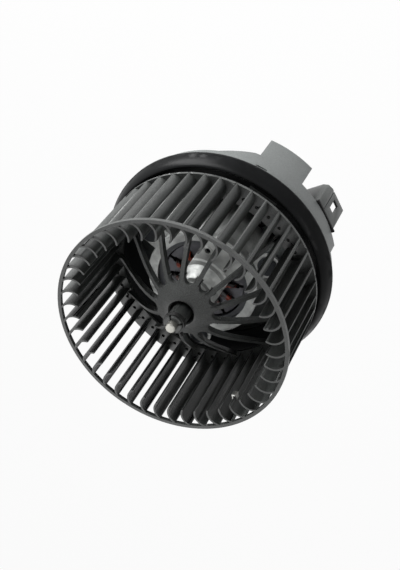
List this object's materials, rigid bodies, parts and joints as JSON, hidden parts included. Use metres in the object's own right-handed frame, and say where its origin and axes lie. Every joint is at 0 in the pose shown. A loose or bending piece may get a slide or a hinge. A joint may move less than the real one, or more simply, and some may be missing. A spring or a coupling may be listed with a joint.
{
  "type": "car cabin blower motor",
  "caption": "Cabin air blower: squirrel-cage impeller on an open-frame brushed motor, held in a round flange with a moulded rear cover and plug socket.",
  "frame": {"origin": "centre of the mounting flange's rim at its rear plane", "axes": "+Z along the motor's axis, from the rear cover towards the air intake; +Y through the middle of the cooling snout"},
  "size_m": [0.1564, 0.1564, 0.1324],
  "materials": {
    "impeller_plastic": "satin",
    "clip_steel": "satin",
    "shaft_steel": "ground",
    "core_steel": "laminated",
    "copper_wire": "enamelled",
    "commutator_copper": "turned",
    "nylon": "smooth",
    "zinc_sheet": "zinc plated",
    "ferrite": "ground",
    "bronze": "sintered",
    "card_plastic": "laminate",
    "holder_brass": "stamped",
    "carbon": "pressed carbon",
    "spring_steel": "drawn",
    "isolator_rubber": "matt",
    "flange_plastic": "semi-gloss",
    "cover_plastic": "fine grained",
    "screw_steel": "zinc plated",
    "connector_plastic": "fine grained",
    "seal_rubber": "soft",
    "tin": "tin plated",
    "red_insulation": "smooth",
    "black_insulation": "smooth"
  },
  "bodies": {
    "housing": {"front_bracket": "zinc_sheet", "rear_bracket": "zinc_sheet", "motor_yoke": "zinc_sheet", "magnet_left": "ferrite", "magnet_right": "ferrite", "magnet_spring_upper": "zinc_sheet", "magnet_spring_lower": "zinc_sheet", "front_bearing": "bronze", "rear_bearing": "bronze", "front_bearing_retainer": "zinc_sheet", "rear_bearing_retainer": "zinc_sheet", "brush_card": "card_plastic", "brush_holder_left": "holder_brass", "brush_holder_right": "holder_brass", "brush_spring_left": "spring_steel", "brush_spring_right": "spring_steel", "choke_left": "copper_wire", "choke_right": "copper_wire", "isolator_1": "isolator_rubber", "isolator_2": "isolator_rubber", "isolator_3": "isolator_rubber", "mounting_flange": "flange_plastic", "rear_cover": "cover_plastic", "cover_screws": "screw_steel", "connector_housing": "connector_plastic", "connector_seal": "seal_rubber", "terminals": "tin", "lead_positive": "red_insulation", "lead_negative": "black_insulation"},
    "rotor": {"impeller": "impeller_plastic", "impeller_clip": "clip_steel", "balance_clip": "clip_steel", "motor_shaft": "shaft_steel", "armature_core": "core_steel", "armature_windings": "copper_wire", "commutator": "commutator_copper", "thrust_washer_front": "nylon", "thrust_washer_rear": "nylon"},
    "left_brush": {"brush_left": "carbon"},
    "right_brush": {"brush_right": "carbon"}
  },
  "joints": [
    {"name": "rotor_spin", "type": "hinge", "parent": "housing", "child": "rotor", "pos_m": [0, 0, 0], "axis": [0, 0, 1], "continuous": true},
    {"name": "left_brush_slide", "type": "slide", "parent": "housing", "child": "left_brush", "axis": [-1, 0, 0], "range_m": [0, 0.004], "stiffness_N_per_m": 200, "springref_m": -0.01, "deforming": ["brush_spring_left"]},
    {"name": "right_brush_slide", "type": "slide", "parent": "housing", "child": "right_brush", "axis": [1, 0, 0], "range_m": [0, 0.004], "stiffness_N_per_m": 200, "springref_m": -0.01, "deforming": ["brush_spring_right"]}
  ]
}
